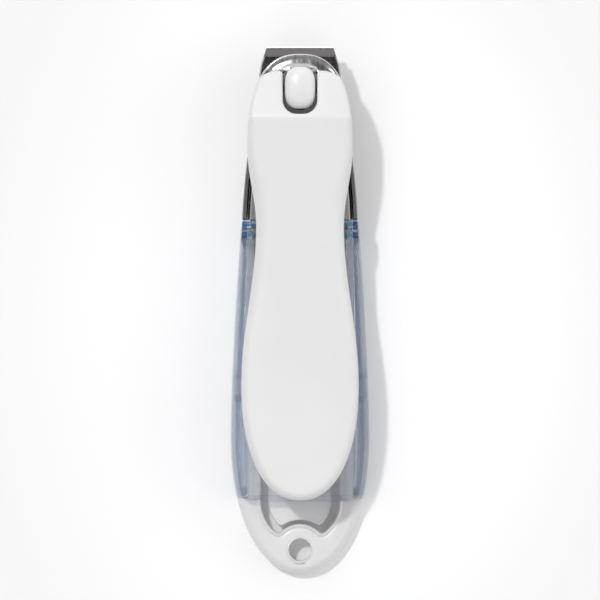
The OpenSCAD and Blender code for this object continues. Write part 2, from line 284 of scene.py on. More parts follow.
def add_box(bm, low, high, r=0.0):
    """Adds a box with its edges bevelled by r."""
    made = bmesh.ops.create_cube(bm, size=1.0)["verts"]
    for v in made:
        v.co = [mix(low[k], high[k], v.co[k] + 0.5) for k in range(3)]
    if r:
        edges = list({e for v in made for e in v.link_edges})
        bmesh.ops.bevel(bm, geom=made + edges, offset=r, segments=3, affect="EDGES", profile=0.5)


def disc(r, n, cy, cz):
    """Points (y, z) round a circle about an axis that runs across the object."""
    return [(cy + r * math.cos(2 * math.pi * k / n), cz + r * math.sin(2 * math.pi * k / n))
            for k in range(n)]


def rod(ends, n, cy, cz):
    """A rod across the object from (x, r) pairs."""
    return loft([[(x, y, z) for y, z in disc(r, n, cy, cz)] for x, r in ends])


def side_box(bm, side, inner, outer, low, high, r=0.0):
    """A bevelled box on one side, -1 or 1, from inner to outer and between two (y, z) corners."""
    left, right = sorted((side * inner, side * outer))
    add_box(bm, (left, *low), (right, *high), r)


def add_mesh(bm, other):
    """Adds another bmesh's faces."""
    mesh = bpy.data.meshes.new("part")
    other.to_mesh(mesh)
    other.free()
    bm.from_mesh(mesh)
    bpy.data.meshes.remove(mesh)


def mesh_object(name, bm):
    """An object in the scene from a millimetre mesh."""
    bmesh.ops.scale(bm, vec=(MM, MM, MM), verts=bm.verts[:])
    mesh = bpy.data.meshes.new(name)
    bm.to_mesh(mesh)
    bm.free()
    obj = bpy.data.objects.new(name, mesh)
    bpy.context.scene.collection.objects.link(obj)
    return obj


def shade(mesh, sharp):
    """Smooth shading that breaks at edges sharper than an angle in degrees."""
    for polygon in mesh.polygons:
        polygon.use_smooth = True
    mesh.set_sharp_from_angle(angle=math.radians(sharp))


def piece(name, bm, body, material, nodes, sharp=32):
    """An object from a millimetre mesh, riding on a CAD body in place of its CAD nodes."""
    obj = mesh_object(name, bm)
    shade(obj.data, sharp)
    obj.data.materials.append(material)
    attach(obj, body)
    if nodes:
        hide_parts(*nodes)
    return obj


def cut(obj, bm):
    """Cuts a millimetre mesh out of a piece."""
    cutter = mesh_object("cutter", bm)
    modifier = obj.modifiers.new("cut", "BOOLEAN")
    modifier.operation = "DIFFERENCE"
    modifier.solver = "EXACT"
    modifier.object = cutter
    bpy.context.view_layer.update()
    evaluated = obj.evaluated_get(bpy.context.evaluated_depsgraph_get())
    result = bpy.data.meshes.new_from_object(evaluated)
    obj.modifiers.clear()
    spent = (obj.data, cutter.data)
    obj.data = result
    bpy.data.objects.remove(cutter)
    for mesh in spent:
        bpy.data.meshes.remove(mesh)
    shade(result, 32)


# ---------------------------------------------------------------- materials

def socket_set(node, **values):
    """Sets a node's inputs by name, an underscore standing for a space."""
    for name, value in values.items():
        node.inputs[name.replace("_", " ")].default_value = value


def new_material(name, **values):
    """A material, its node tree and its shader."""
    material = bpy.data.materials.new(name)
    material.use_nodes = True
    tree = material.node_tree
    shader = tree.nodes["Principled BSDF"]
    socket_set(shader, **values)
    return material, tree, shader


def noise_node(tree, scale, detail, stretch=(1, 1, 1)):
    """Noise in the piece's own space, in features per metre."""
    place = tree.nodes.new("ShaderNodeTexCoord")
    mapping = tree.nodes.new("ShaderNodeMapping")
    mapping.inputs["Scale"].default_value = stretch
    tree.links.new(place.outputs["Object"], mapping.inputs["Vector"])
    node = tree.nodes.new("ShaderNodeTexNoise")
    node.inputs["Scale"].default_value = scale
    node.inputs["Detail"].default_value = detail
    tree.links.new(mapping.outputs["Vector"], node.inputs["Vector"])
    return node


def ramp(tree, source, stops):
    """A colour ramp through (position, colour) stops, driven by a source."""
    node = tree.nodes.new("ShaderNodeValToRGB")
    node.color_ramp.elements[0].position, node.color_ramp.elements[0].color = stops[0]
    node.color_ramp.elements[1].position, node.color_ramp.elements[1].color = stops[-1]
    for position, colour in stops[1:-1]:
        node.color_ramp.elements.new(position).color = colour
    tree.links.new(source, node.inputs["Fac"])
    return node


def vary(tree, shader, name, source, low, high):
    """Swings one of the shader's inputs between two colours with a texture."""
    node = ramp(tree, source, [(0.3, low), (0.7, high)])
    tree.links.new(node.outputs["Color"], shader.inputs[name])


def smooth_range(tree, value, zero_at, one_at):
    """A factor that rises softly from 0 to 1 between two values."""
    node = tree.nodes.new("ShaderNodeMapRange")
    node.interpolation_type = "SMOOTHSTEP"
    node.inputs["From Min"].default_value = zero_at
    node.inputs["From Max"].default_value = one_at
    tree.links.new(value, node.inputs["Value"])
    return node.outputs["Result"]


def blended(tree, factor, base, colour):
    """The base, turned to a colour as the factor rises to 1."""
    node = tree.nodes.new("ShaderNodeMix")
    node.data_type = "RGBA"
    tree.links.new(factor, node.inputs["Factor"])
    tree.links.new(base, node.inputs[6])
    node.inputs[7].default_value = colour
    return node.outputs[2]


def bump(tree, shader, height, distance):
    """Relief from a texture of heights, its depth in metres, at half strength."""
    node = tree.nodes.new("ShaderNodeBump")
    node.inputs["Distance"].default_value = distance
    node.inputs["Strength"].default_value = 0.5
    tree.links.new(height, node.inputs["Height"])
    tree.links.new(node.outputs["Normal"], shader.inputs["Normal"])


def grey(v):
    return (v, v, v, 1.0)


def plastic(name, light, dark, roughness, rough_swing, grain, grain_depth):
    """Moulded plastic: faint cloudy colour, uneven gloss and a fine moulded grain."""
    material, tree, shader = new_material(name, IOR=1.5)
    vary(tree, shader, "Base Color", noise_node(tree, 90, 2).outputs["Fac"], dark, light)
    vary(tree, shader, "Roughness", noise_node(tree, 400, 3).outputs["Fac"],
         grey(roughness - rough_swing), grey(roughness + rough_swing))
    bump(tree, shader, noise_node(tree, grain, 2).outputs["Fac"], grain_depth)
    return material


def polish_and_highlight_ridge(material, y, width):
    """A smoother line polished along a ridge that runs across the lever, its lighter colour a painted
    highlight.
    """
    tree = material.node_tree
    shader = tree.nodes["Principled BSDF"]
    place = tree.nodes.new("ShaderNodeTexCoord")
    split = tree.nodes.new("ShaderNodeSeparateXYZ")
    tree.links.new(place.outputs["Object"], split.inputs["Vector"])
    offset = tree.nodes.new("ShaderNodeMath")
    offset.operation = "SUBTRACT"
    offset.inputs[1].default_value = y
    tree.links.new(split.outputs["Y"], offset.inputs[0])
    size = tree.nodes.new("ShaderNodeMath")
    size.operation = "ABSOLUTE"
    tree.links.new(offset.outputs["Value"], size.inputs[0])
    near = smooth_range(tree, size.outputs["Value"], width, 0.0)
    # The lower roughness is the polish; the lighter base colour is a painted highlight.
    for name, value in (("Base Color", 0.735), ("Roughness", 0.38)):
        base = shader.inputs[name].links[0].from_socket
        tree.links.new(blended(tree, near, base, grey(value)), shader.inputs[name])


def steel(name, light, dark, roughness, depth, rings=False):
    """Plated steel with fine polishing lines, straight or turned about the lever's head."""
    material, tree, shader = new_material(name, Metallic=1.0, IOR=2.5)
    fine = noise_node(tree, 1800, 4, (1, 0.25, 1))
    height = fine.outputs["Fac"]
    if rings:
        place = tree.nodes.new("ShaderNodeTexCoord")
        mapping = tree.nodes.new("ShaderNodeMapping")
        mapping.inputs["Location"].default_value = (0, -31 * MM, 0)
        wave = tree.nodes.new("ShaderNodeTexWave")
        wave.wave_type = "RINGS"
        wave.rings_direction = "Z"
        wave.inputs["Scale"].default_value = 260
        wave.inputs["Distortion"].default_value = 1
        wave.inputs["Detail"].default_value = 2
        tree.links.new(place.outputs["Object"], mapping.inputs["Vector"])
        tree.links.new(mapping.outputs["Vector"], wave.inputs["Vector"])
        height = wave.outputs["Fac"]
    vary(tree, shader, "Base Color", height, dark, light)
    vary(tree, shader, "Roughness", fine.outputs["Fac"], grey(roughness * 0.8), grey(roughness * 1.25))
    bump(tree, shader, height, depth)
    return material


cover_white = plastic("cover_white", grey(0.69), grey(0.67), 0.42, 0.03, 5200, 0.00002)
# The ridge's lighter colour is a painted highlight.
polish_and_highlight_ridge(cover_white, (RIDGE_Y - 0.1) * MM, 0.5 * MM)
cap_white = plastic("cap_white", grey(0.70), grey(0.68), 0.32, 0.02, 900, 0.000004)
tray_white = plastic("tray_white", grey(0.71), grey(0.69), 0.30, 0.03, 2600, 0.000012)
carrier_white = plastic("carrier_white", grey(0.78), grey(0.74), 0.35, 0.03, 2600, 0.000012)
plate_steel = steel("plate_steel", grey(0.62), grey(0.57), 0.22, 0.0000003, rings=True)
jaw_steel = steel("jaw_steel", (0.39, 0.375, 0.37, 1), (0.35, 0.335, 0.33, 1), 0.12, 0.0000005)
# A dark copy of the jaw steel: painted shade on the upper blade's front bevel.
painted_shade_steel = steel("painted_shade_steel", (0.14, 0.13, 0.127, 1), (0.11, 0.103, 0.10, 1), 0.3, 0.000001)
# A light copy of the steel: a painted highlight along the lower jaw's front edge.
painted_highlight_steel = steel("painted_highlight_steel", grey(0.86), grey(0.80), 0.2, 0.0000005)
post_steel = steel("post_steel", grey(0.42), grey(0.36), 0.16, 0.0000008)


def clear_plastic(name, light, dark, alpha, roughness, absorbed, density):
    """Clear plastic that takes its blue from the depth of plastic behind each point."""
    material, tree, shader = new_material(name, Transmission_Weight=1.0, IOR=1.49, Alpha=alpha)
    vary(tree, shader, "Base Color", noise_node(tree, 60, 2).outputs["Fac"], dark, light)
    vary(tree, shader, "Roughness", noise_node(tree, 350, 3).outputs["Fac"],
         grey(roughness * 0.5), grey(roughness * 1.5))
    bump(tree, shader, noise_node(tree, 90, 1, (1, 0.2, 1)).outputs["Fac"], 0.0001)
    volume = tree.nodes.new("ShaderNodeVolumeAbsorption")
    volume.inputs["Color"].default_value = absorbed
    volume.inputs["Density"].default_value = density
    tree.links.new(volume.outputs["Volume"], tree.nodes["Material Output"].inputs["Volume"])
    return material


BLUE = (0.36, 0.46, 0.62, 1)
clear_blue = clear_plastic("clear_blue", (0.97, 0.985, 1.0, 1), (0.95, 0.97, 0.99, 1), 0.5, 0.015,
                           BLUE, 170)
deep_blue = clear_plastic("clear_blue_lip", (0.62, 0.80, 0.95, 1), (0.54, 0.74, 0.91, 1), 0.95, 0.04,
                          (0.1, 0.42, 0.78, 1), 160)
# A paler copy of the clear plastic for the groove: its frosting is roughness, its paleness a painted
# highlight.
pale_blue = clear_plastic("clear_blue_groove", (0.97, 0.99, 1.0, 1), (0.95, 0.97, 1.0, 1), 0.5, 0.25,
                          BLUE, 10)

# ---------------------------------------------------------------- lever

def lever_stations(y_front):
    """Stations along the lever from its rear to y_front, crowded towards both ends."""
    return (list(reversed(round_end(GRIP_Y, LEVER_REAR, 60))) + steps(GRIP_Y, WAIST_Y, 60)
            + steps(WAIST_Y + 0.4, HEAD_Y, 30) + round_end(HEAD_Y, y_front, 50))


def notch_right(y_end):
    """Right-hand side of the notch, from its closed end forward to y_end."""
    return ([(0.0, NOTCH_Y)] + arc(NOTCH_X - NOTCH_R, NOTCH_Y + NOTCH_R, NOTCH_R, -90, 0, 14)
            + [(NOTCH_X, y) for y in steps(NOTCH_Y + NOTCH_R + 0.4, y_end, 12)])


def plate_right(grow):
    """Right-hand side of the lever plate."""
    return [(0.4, PLATE_REAR)] + [(plate_x(y) + grow, y) for y in lever_stations(PLATE_FRONT)
                                  if y > PLATE_REAR + 0.1]


def cover_outline():
    """The lever's moulding, with the notch between its two lobes."""
    lobe = 0.65
    outer = [(cover_x(y), y) for y in lever_stations(COVER_FRONT)]
    outer = [p for p in outer if p[1] < 20 or p[0] > NOTCH_X + lobe]
    tip_x, tip_y = outer[-1]
    tip = arc(tip_x, tip_y - lobe, tip_x - NOTCH_X, 90, 180, 8, lobe)[1:]
    return mirrored(outer + tip + list(reversed(notch_right(tip_y - lobe - 0.3))))


def cover_roll(x, y):
    """Rounding of the cover's edge: broad at the waist, tight at the notch and the lobes."""
    broad = 1.35 + 1.0 * ease((y + 8) / 16) * ease((28 - y) / 10)
    r = mix(broad, 0.75, ease((y - 29) / 6))
    depth = min(1.7, r)
    if abs(x) < NOTCH_X + 0.7 and y > NOTCH_Y - 0.3:
        r = depth = 0.4
    return [(i * r, d * depth) for i, d in quarter(1.0, 8)]


def cover_top(x, y):
    """Slightly crowned, with a low bead along the ridge."""
    return soft_plate_z(y) + 1.95 - x * x / 220 + 0.025 * math.exp(-((y - RIDGE_Y) / 0.28) ** 2)


def plate_bottom(x, y):
    """The underside, which the plate and the moulding's lower edge share."""
    return soft_plate_z(y) - PLATE_HALF_T


ridge_cuts = [RIDGE_Y + d for d in (-1.0, -0.6, -0.4, -0.2, 0, 0.2, 0.4, 0.6, 1.0)]
lever_cuts_y = steps(-31, 31, 62) + ridge_cuts + steps(33.5, 39.5, 12)
lever_cuts_x = steps(-9, 9, 18)

outline = resample(cover_outline(), 0.35)
cover = piece("lever_cover_shell",
              slab([(outline, cover_roll, edge(0.15, 2))], cover_top, plate_bottom,
                   lever_cuts_x, lever_cuts_y),
              "lever", cover_white, ["lever_cover"])
cut(cover, slab([(resample(mirrored(plate_right(0.04)), 0.6), no_edge, no_edge)],
                lambda x, y: soft_plate_z(y) + 0.54, lambda x, y: soft_plate_z(y) - 1.5,
                cuts_y=lever_cuts_y[::2]))


def plate_edge(x, y):
    """The plate's polished rim, and in front of the bar its dished front."""
    front = ease((y - 37.2) / 2.2)
    pairs = [(0.22 * i, 0.3 * d + 0.1 * front) for i, d in quarter(1.0, 4)]
    swell = [(0.45, 0.1), (0.7, 0.15), (1.0, 0.13), (1.3, 0.06), (1.6, 0.01), (1.9, 0.0)]
    return pairs + [(0.22 + (i - 0.22) * front, d * front) for i, d in swell]


slot = resample(list(reversed(mirrored(notch_right(BAR_Y - 0.2)))), 0.4)
plate = slab([(resample(mirrored(plate_right(0.0)), 0.4), plate_edge, edge(0.25)),
              (slot, edge(0.15, 2), edge(0.15, 2))],
             lambda x, y: soft_plate_z(y) + PLATE_HALF_T, plate_bottom,
             lever_cuts_x[::2], lever_cuts_y[::2])
add_mesh(plate, rod(((-3.2, 0.45), (-2.0, 0.85), (2.0, 0.85), (3.2, 0.45)), 40, BAR_Y, BAR_Z))
piece("lever_plate_steel", plate, "lever", plate_steel, ["lever_plate"])

# ---------------------------------------------------------------- post and cap

CAP_Y, CAP_X, CAP_HALF_L, CAP_BASE_Z, CAP_TOP_Z = 37.0, 2.52, 3.5, 14.15, 16.9
CROSS_R, LONG_R = 5, 12
cap_ys = [CAP_HALF_L * math.sin(math.pi * (k / 48 - 0.5)) for k in range(49)]
cap_outline = mirrored([(oval(d, CAP_X, CAP_HALF_L, 3.0), CAP_Y + d) for d in cap_ys])


def cap_top(x, y):
    """A dome with one radius across it and a longer one along it."""
    across = CROSS_R - math.sqrt(CROSS_R ** 2 - min(24, x * x))
    along_it = LONG_R - math.sqrt(LONG_R ** 2 - (y - CAP_Y) ** 2)
    return CAP_TOP_Z - across - along_it


def cap_roll(x, y):
    """The dome's rounding, broader towards its two ends."""
    end = ease((abs(y - CAP_Y) - 1.4) / 2.0)
    return [(mix(0.85, 1.5, end) * i, mix(0.75, 1.25, end) * d) for i, d in quarter(1.0, 12)]


piece("post_cap_dome",
      slab([(resample(cap_outline, 0.22), cap_roll, edge(0.1, 2))],
           cap_top, lambda x, y: CAP_BASE_Z, steps(-2.1, 2.1, 14), steps(33.8, 40.2, 24)),
      "post", cap_white, ["post_cap"])

# ---------------------------------------------------------------- jaws

def along(profile):
    """Height along y from (y, z) pairs."""
    def height(x, y):
        if y <= profile[0][0]:
            return profile[0][1]
        for (ya, za), (yb, zb) in zip(profile, profile[1:]):
            if y <= yb:
                return mix(za, zb, (y - ya) / (yb - ya))
        return profile[-1][1]
    return height


def softened(height, r):
    """The same height with its creases rounded over r either side."""
    return lambda x, y: (height(x, y - r) + 2 * height(x, y) + height(x, y + r)) / 4


def jaw_outline(half_width, nose):
    """A jaw's outline, its leaf tapering to the rear inside the hood."""
    ys = steps(JAW_AT_HOOD, BLADE_Y, 40) + steps(BLADE_Y, nose, 4)[1:]
    rear = [(6.0, JAW_REAR), (8.3, JAW_AT_HOOD)]
    return resample(mirrored(rear + [(half_width(y), y) for y in ys]), 0.4)


def circle(cx, cy, r, n=40):
    """A clockwise circle, for a hole."""
    return [(cx + r * math.cos(-2 * math.pi * k / n), cy + r * math.sin(-2 * math.pi * k / n))
            for k in range(n)]


def thin_edge(top, bottom, r):
    """An edge rounding that stays within the thickness of the plate."""
    def pairs(x, y):
        s = min(r, 0.4 * max(0.0, top(x, y) - bottom(x, y)))
        return [(i * s, d * s) for i, d in quarter(1.0, 3)]
    return pairs


def bore(y, r):
    """A round hole through a plate on the middle line, with eased edges."""
    return circle(0, y, r), edge(0.1, 2), edge(0.1, 2)


def recolour_jaw_front(obj, material, low_y, high_y):
    """Gives a jaw's upward faces between two stations another steel, whose darker or lighter colour
    paints shade or a highlight there.
    """
    obj.data.materials.append(material)
    last = len(obj.data.materials) - 1
    for polygon in obj.data.polygons:
        if low_y < polygon.center.y / MM < high_y and polygon.normal.z > 0.2:
            polygon.material_index = last


jaw_cuts = [steps(-8, 8, 8), steps(-10, 14, 12) + steps(15.5, 36, 24) + steps(36.5, 43.8, 24)]

upper_top = softened(along([(-11, 7.2), (-3, 7.2), (13, 9.75), (20, 11.16), (36.3, 11.16), (39, 10.2),
                            (42.3, 9.6), (UPPER_FRONT, 8.84)]), 0.12)
upper_bottom = softened(along([(-11, 6.3), (-3, 6.3), (13, 8.85), (20, 10.26), (36, 10.26), (38.7, 9.3),
                               (42.6, 8.8), (44, 8.8)]), 0.1)
upper_edge = thin_edge(upper_top, upper_bottom, 0.22)
upper = piece("upper_jaw_leaf",
              slab([(jaw_outline(leaf_x, UPPER_FRONT), upper_edge, upper_edge),
                    bore(POST_Y, 2.1), bore(RIVET_Y, 1.6)],
                   upper_top, upper_bottom, *jaw_cuts),
              "upper_jaw", jaw_steel, ["upper_jaw"], sharp=12)
# The blade's front bevel takes the dark copy: painted shade.
recolour_jaw_front(upper, painted_shade_steel, 42.25, 44.5)

lower_top = softened(along([(-11, 6.1), (37, 6.1), (42.6, 6.75), (43.6, 6.92), (44, 6.7)]), 0.06)
lower_bottom = softened(along([(-11, 5.2), (37.4, 5.2), (42.2, 5.7), (44, 6.64)]), 0.06)
lower_edge = thin_edge(lower_top, lower_bottom, 0.2)
window = [(4.6, -1.0), (-4.6, -1.0), (-4.6, 12.0), (4.6, 12.0)]
lower = slab([(jaw_outline(lambda y: jaw_x(y) - 0.04, JAW_FRONT), lower_edge, lower_edge),
              bore(POST_Y, 1.66), bore(RIVET_Y, 1.42),
              (resample(window, 0.6), edge(0.1, 2), edge(0.1, 2))],
             lower_top, lower_bottom, *jaw_cuts)
wall_top = softened(along([(WALL_REAR, 8.8), (33, 9.8), (WALL_FRONT, 6.6)]), 0.2)
for side in (1, -1):
    outer = [(side * jaw_x(y), y) for y in steps(WALL_REAR, WALL_FRONT, 40)]
    inner = [(side * (jaw_x(y) - 0.7), y) for y in steps(WALL_FRONT, WALL_REAR, 40)]
    strip = outer + inner if side > 0 else list(reversed(outer + inner))
    add_mesh(lower, slab([(resample(strip, 0.35), edge(0.2, 3), no_edge)], wall_top,
                         lambda x, y: 5.3, (), steps(15.6, 35.8, 40)))
# Inside radius of the folded walls
for side in (1, -1):
    rings = []
    for y in steps(15.3, 35.2, 40):
        x0 = jaw_x(y) - 0.68
        section = [(x0, 6.0), (x0, 7.6)] + [(x0 - 0.62 * math.sin(a), 7.6 - 1.5 * (1 - math.cos(a)))
                                            for a in [math.pi / 2 * k / 6 for k in range(1, 7)]]
        rings.append([(side * x, y, z) for x, z in section + [(x0 - 0.62, 6.0)]])
    add_mesh(lower, loft(rings))
lower = piece("lower_jaw_channel", lower, "housing", jaw_steel, ["lower_jaw"], sharp=20)
# The lower jaw's front edge takes the light copy: a painted highlight.
recolour_jaw_front(lower, painted_highlight_steel, 43.2, 44.5)

for name, material in (("pivot_post", post_steel), ("jaw_rivet", post_steel),
                       ("rivet_washer", post_steel), ("jaw_carrier", carrier_white)):
    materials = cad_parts[name].data.materials
    materials.clear()
    materials.append(material)

# ---------------------------------------------------------------- clear hood

CHANNEL_X, LIP_X, LIP_Z = 8.9, 8.2, 0.85
HOOD_REAR, LIP_REAR = -31.0, -31.9
ROOF_REAR_Z, ROOF_FRONT_Z, ROOF_T, CROWN_R = 6.4, 11.6, 0.8, 80.0


def roof_z(x, y):
    """Height of the hood's roof, which slopes up to the front and is crowned across."""
    slope = (ROOF_FRONT_Z - ROOF_REAR_Z) / (HOOD_FRONT - LIP_REAR)
    return ROOF_REAR_Z + slope * (y - LIP_REAR) - x * x / (2 * CROWN_R)


REAR_BEAD, FORE_BEAD = (12.0, 13.05), (13.5, 14.85)


def front_bead(y):
    """Height of the two rounded beads across the hood's front lip."""
    for low, high in (REAR_BEAD, FORE_BEAD):
        if low < y < high:
            t = (y - low) / (high - low)
            return 0.3 * math.sin(math.pi * t) ** 0.6
    return 0.0


def hood_ring(y):
    """Cross-section of the hood: drafted outer wall and roof, then the channel, as a closed ring."""
    w = side_x(y)
    sunk = 0.3 * ease((y - 11.2) / 0.6) - front_bead(y)
    draft = mix(0.75, 0.2, ease((y - 10.0) / 2.0))
    roll = mix(0.55, 0.3, ease((y - 10.0) / 2.0))
    z_edge = roof_z(w, y) - sunk
    ring = [(LIP_X, 0.0), (w - 0.3, 0.0), (w - 0.08, 0.08), (w, 0.3)]
    ring += [(w - draft * t ** 2, mix(0.3, z_edge - roll, t)) for t in (0.25, 0.5, 0.7, 0.85, 1.0)]
    lean = math.radians(10)
    for k in range(1, 9):
        a = mix(lean, math.pi / 2, k / 8)
        x = w - draft - roll * (math.cos(lean) - math.cos(a))
        z = z_edge - roll + roll * (math.sin(a) - math.sin(lean)) / (1 - math.sin(lean))
        ring.append((x, z))
    x_top, z_top = ring[-1]
    for t in steps(0, 1, 12)[1:]:
        x = mix(x_top, 0, t)
        ring.append((x, roof_z(x, y) - sunk - (roof_z(x_top, y) - sunk - z_top) * (1 - t) ** 3))
    outer = ring + [(-x, z) for x, z in reversed(ring[:-1])]
    inner = [(LIP_X, LIP_Z - 0.05), (LIP_X + 0.1, LIP_Z), (CHANNEL_X, LIP_Z)]
    top = roof_z(CHANNEL_X, y) - ROOF_T
    inner += [(CHANNEL_X, mix(LIP_Z, top, t)) for t in (0.33, 0.66)]
    inner += [(CHANNEL_X, top - 0.35), (CHANNEL_X - 0.1, top - 0.1), (CHANNEL_X - 0.35, top)]
    inner += [(x, roof_z(x, y) - ROOF_T) for x in (6.5, 4.5, 2.2, 0.0)]
    loop = outer + [(-x, z) for x, z in inner] + [(x, z) for x, z in reversed(inner[:-1])]
    return [(x, y, z) for x, z in loop]


hood_rings = [hood_ring(y) for y in [-30.9] + steps(-30.5, 10.9, 60) + steps(11.2, 11.95, 5)]
first = [(x * 0.995, HOOD_REAR, z) for x, y, z in hood_rings[0]]
hood = loft([first] + hood_rings)
front_lip = loft([hood_ring(y) for y in steps(*REAR_BEAD, 10)])
add_mesh(front_lip, loft([hood_ring(y) for y in steps(*FORE_BEAD, 12)]))
groove = loft([hood_ring(y) for y in (13.07, 13.15, 13.4, 13.48)])
# Rounded lip over the tail
lip_plan = [(-9.75, -30.95), (-9.6, -31.25), (-8.9, -31.75), (-8.0, -31.9), (8.0, -31.9), (8.9, -31.75),
            (9.6, -31.25), (9.75, -30.95)]
add_mesh(hood, slab([(resample(lip_plan, 0.3), edge(0.3, 4), edge(0.12, 2))],
                    lambda x, y: roof_z(x, y) - 0.02, lambda x, y: 4.75, steps(-9, 9, 12)))
# Latch rib inside the roof
add_box(hood, (-4, -30.3, 4.3), (4, -29.7, 5.75), 0.1)
hood_piece = piece("clear_hood_shell", hood, "housing", clear_blue, ["clear_hood"],
                   sharp=25)
piece("clear_hood_front_lip", front_lip, "housing", deep_blue, [], sharp=25)
# The groove takes the paler copy: a painted highlight between the beads.
piece("clear_hood_groove", groove, "housing", pale_blue, [], sharp=25)


HOLLOW_X, HOLLOW_Z = 8.6, 2.0


def hollow_ring(side, y):
    """Cross-section of the hollow inside one flank, between its guide ledge and the roof."""
    x_out = side_x(y) - 1.25
    room = clamp01((x_out - 8.75) / 1.6)
    lean, r = 0.75 * room, 0.6 * room
    z_top = roof_z(x_out, y) - ROOF_T
    section = [(HOLLOW_X, HOLLOW_Z), (x_out, HOLLOW_Z)]
    section += [(x_out - lean * t ** 2, mix(HOLLOW_Z, z_top - r, t)) for t in (0.25, 0.5, 0.75, 1.0)]
    section += [(x_out - lean - r * (1 - math.cos(a)), z_top - r * (1 - math.sin(a)))
                for a in [math.pi / 2 * k / 5 for k in range(1, 6)]]
    section += [(HOLLOW_X, roof_z(HOLLOW_X, y) - ROOF_T)]
    return [(side * x, y, z) for x, z in section]


hollows = bmesh.new()
for side in (-1, 1):
    side_box(hollows, side, HOLLOW_X, 10.3, (-14.3, 3.9), (-11.1, 5.3))
    for start, end in ((-29.6, -15.2), (-10.2, 9.0)):
        count = round((end - start) / 0.8)
        add_mesh(hollows, loft([hollow_ring(side, y) for y in steps(start, end, count)]))
cut(hood_piece, hollows)

# ---------------------------------------------------------------- tray and tongue

TAIL_FRONT, LANYARD_Y, BOSS_R = -31.3, -40.05, 4.36
POCKET_X, TONGUE_ROOT_Y = 6.55, -24.9
POCKET_Y = TAIL_FRONT - 0.6
DRAWER_X, DRAWER_FRONT, DRAWER_REAR = 8.1, 13.46, -24.0


def pocket_curve(half_w, length, boss):
    """The opening's rear edge, from its right side round to its left past the boss round the hole."""
    points = [(half_w * math.cos(a), POCKET_Y + length * math.sin(a))
              for k in range(61) for a in [-math.pi * k / 60]]
    kept_right = [p for p in points if p[0] >= 0 and math.hypot(p[0], p[1] - LANYARD_Y) > boss]
    x, y = kept_right[-1]
    start = math.degrees(math.atan2(y - LANYARD_Y, x))
    bend = arc(0, LANYARD_Y, boss, start, 90, 14)[1:]
    right = kept_right + bend
    return right + [(-px, py) for px, py in reversed(right[:-1])]


def smoothed(points, passes):
    """An open curve with its kinks eased, its ends kept."""
    for _ in range(passes):
        points = ([points[0]] + [((a[0] + 2 * b[0] + c[0]) / 4, (a[1] + 2 * b[1] + c[1]) / 4)
                                 for a, b, c in zip(points, points[1:], points[2:])] + [points[-1]])
    return points


def even(points, step):
    """An open curve with points step apart."""
    lengths = [0.0]
    for p, q in zip(points, points[1:]):
        lengths.append(lengths[-1] + math.hypot(q[0] - p[0], q[1] - p[1]))
    count = max(2, round(lengths[-1] / step))
    out, j = [], 0
    for m in range(count + 1):
        want = lengths[-1] * m / count
        while j < len(points) - 2 and lengths[j + 1] < want:
            j += 1
        t = (want - lengths[j]) / max(1e-9, lengths[j + 1] - lengths[j])
        out.append((mix(points[j][0], points[j + 1][0], t), mix(points[j][1], points[j + 1][1], t)))
    return out


def tail_outline():
    """Anticlockwise: the tail's right side, its front edge, the opening, and back down its left."""
    right = [(side_x(y), y) for y in list(reversed(round_end(TAIL_FRONT, TAIL_REAR, 60))) + [TAIL_FRONT]]
    pocket = smoothed(even(pocket_curve(POCKET_X, 6.7, BOSS_R), 0.25), 6)
    left = [(-x, y) for x, y in reversed(right) if x > 1e-6]
    return right + [(POCKET_X, TAIL_FRONT)] + pocket[1:-1] + [(-POCKET_X, TAIL_FRONT)] + left


TAIL_DROP = 0.32


def tail_edge(x, y):
    """Rounded outer edge, and a raised rim line around the opening."""
    inside = abs(x) < 6.6 and y > LANYARD_Y + 2.5 and (
        math.hypot(x / 6.6, (y - POCKET_Y) / 6.9) < 1.02 or y > POCKET_Y)
    if inside:
        return [(0.0, 0.40), (0.08, 0.14), (0.2, 0.0), (0.34, 0.0), (0.44, 0.08), (0.56, 0.3),
                (0.68, TAIL_DROP + 0.06), (0.85, TAIL_DROP + 0.03), (1.0, TAIL_DROP)]
    r = mix(0.3, 1.7, clamp01((TAIL_FRONT - y) / 1.8))
    return [(i * r, TAIL_DROP + d * r) for i, d in quarter(1.0, 8)]


hole_rim = [(0.0, 0.40), (0.06, 0.18), (0.12, 0.1), (0.2, 0.1), (0.28, 0.14), (0.36, 0.3),
            (0.44, TAIL_DROP + 0.03), (0.5, TAIL_DROP), (0.56, TAIL_DROP)]
tail_loops = [(resample(tail_outline(), 0.28), tail_edge, edge(0.4, 3)),
              (circle(0, LANYARD_Y, 1.85, 72), lambda x, y: hole_rim, edge(0.16, 2))]
tray = slab(tail_loops, lambda x, y: 4.2, lambda x, y: 0.0)
# Drawer: its floor, a wall and a strip beside the tongue on each side, the sill and the back wall.
# Their tops are set a little apart, so that no two lie in one plane.
add_box(tray, (-DRAWER_X, DRAWER_REAR, 0.0), (DRAWER_X, DRAWER_FRONT, 1.0), 0.12)
for side in (-1, 1):
    side_box(tray, side, 7.4, 8.75, (-31.5, 0.95), (DRAWER_FRONT + 0.04, 3.8), 0.15)
    side_box(tray, side, POCKET_X, 7.6, (-31.5, 0.03), (-22.8, 3.77), 0.12)
add_box(tray, (-8.4, 12.6, 0.95), (8.4, DRAWER_FRONT, 2.7), 0.15)
add_box(tray, (-8.4, DRAWER_REAR + 0.1, 0.95), (8.4, -22.6, 3.74), 0.15)
piece("base_tray_moulding", tray, "tray", tray_white, ["base_tray"])

